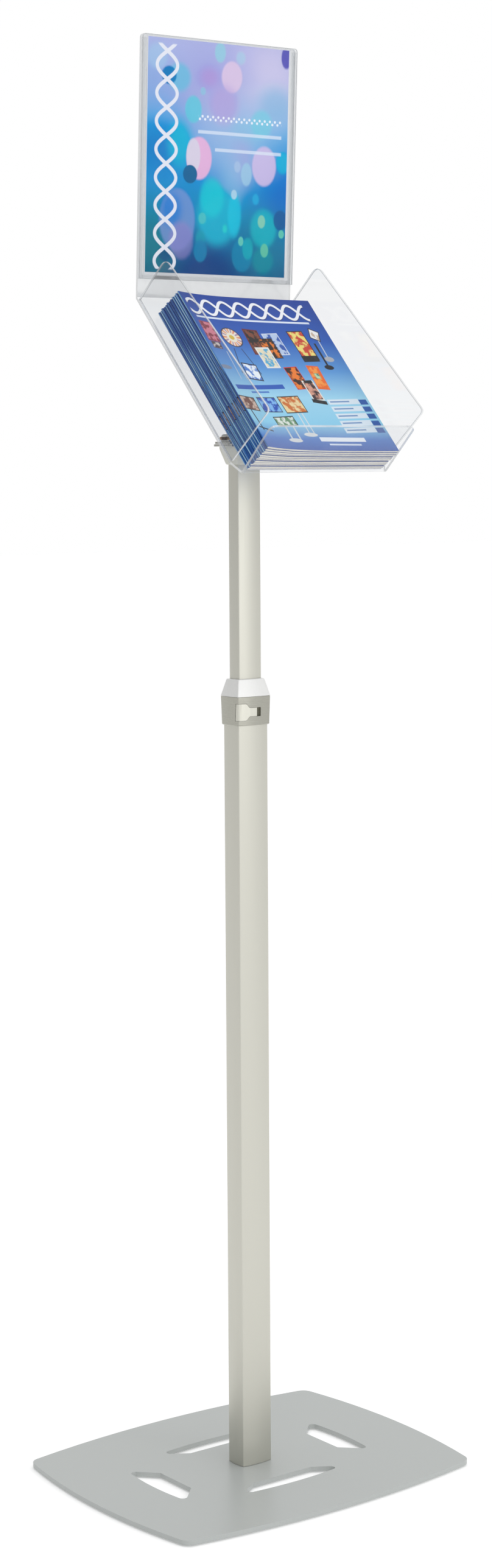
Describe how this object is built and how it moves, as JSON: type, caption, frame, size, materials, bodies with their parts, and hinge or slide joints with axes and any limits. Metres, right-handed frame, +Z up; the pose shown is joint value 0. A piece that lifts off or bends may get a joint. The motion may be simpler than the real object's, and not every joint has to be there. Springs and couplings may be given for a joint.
{
  "type": "sign stand",
  "caption": "Floor stand with a flat slotted base, a telescoping mast with a lever lock and a tilting clear head that shows a framed print above a tray of booklets.",
  "frame": {"origin": "floor level under the centre of the mast", "axes": "+Z up, the reader stands on the -Y side, +X to the reader's right"},
  "size_m": [0.479, 0.3888, 1.7769],
  "materials": {
    "powder_grey": "satin",
    "rubber": "matte",
    "champagne": "satin",
    "brushed": "satin",
    "satin_silver": "satin",
    "steel": "satin",
    "brass": "polished",
    "nylon": "matte",
    "neck_grey": "satin",
    "acrylic": "polished",
    "print": "satin",
    "covers": "gloss"
  },
  "bodies": {
    "base": {"base_plate": "powder_grey", "foot_pad_front_left": "rubber", "foot_pad_front_right": "rubber", "foot_pad_rear_right": "rubber", "foot_pad_rear_left": "rubber", "mast_foot_plug": "steel", "base_screw_1": "steel", "base_screw_2": "steel", "base_screw_3": "steel", "base_screw_4": "steel", "lower_tube": "champagne", "mast_bush": "nylon", "collar_band": "brushed", "collar_cone": "satin_silver", "lever_pin": "steel", "clamp_shoe": "nylon", "collar_screw_left": "steel", "collar_screw_right": "steel"},
    "lever": {"lock_lever": "champagne"},
    "mast": {"upper_tube": "champagne", "mast_glide": "nylon", "neck_cap": "neck_grey", "head_plate": "steel", "head_screw_left": "steel", "head_screw_right": "steel", "hinge_lug_left": "steel", "hinge_lug_right": "steel", "lug_screw_left": "steel", "lug_screw_right": "steel", "hinge_bolt": "brass", "hinge_nut": "steel"},
    "head": {"tilt_yoke": "steel", "tray_sheet": "acrylic", "tray_screw_1": "steel", "tray_screw_2": "steel", "tray_screw_3": "steel", "tray_screw_4": "steel", "tray_wing_left": "acrylic", "tray_wing_right": "acrylic", "pocket_front": "acrylic", "pocket_strip_left": "acrylic", "pocket_strip_right": "acrylic", "pocket_strip_bottom": "acrylic"},
    "print": {"sign_print": "print"},
    "booklet_stack": {"booklet_01": "covers", "booklet_02": "covers", "booklet_03": "covers", "booklet_04": "covers", "booklet_05": "covers", "booklet_06": "covers", "booklet_07": "covers", "booklet_08": "covers", "booklet_09": "covers", "booklet_10": "covers", "booklet_11": "covers"},
    "front_booklet": {"booklet_12": "covers"}
  },
  "joints": [
    {"name": "mast_height", "type": "slide", "parent": "base", "child": "mast", "axis": [0, 0, 1], "range_m": [-0.255, 0.2]},
    {"name": "lever_swing", "type": "hinge", "parent": "base", "child": "lever", "pos_m": [-0.0206, -0.0134, 0.9652], "axis": [0, 0, -1], "range_deg": [0, 80]},
    {"name": "head_tilt", "type": "hinge", "parent": "mast", "child": "head", "pos_m": [0, 0, 1.2987], "axis": [1, 0, 0], "range_deg": [-20, 12]},
    {"name": "print_lift", "type": "slide", "parent": "head", "child": "print", "axis": [0, -0.0454, 0.999], "range_m": [0, 0.2]},
    {"name": "booklets_lift", "type": "slide", "parent": "head", "child": "booklet_stack", "axis": [0, -0.7278, 0.6858], "range_m": [0, 0.1]},
    {"name": "front_booklet_lift", "type": "slide", "parent": "booklet_stack", "child": "front_booklet", "axis": [0, -0.7278, 0.6858], "range_m": [0, 0.12]}
  ]
}
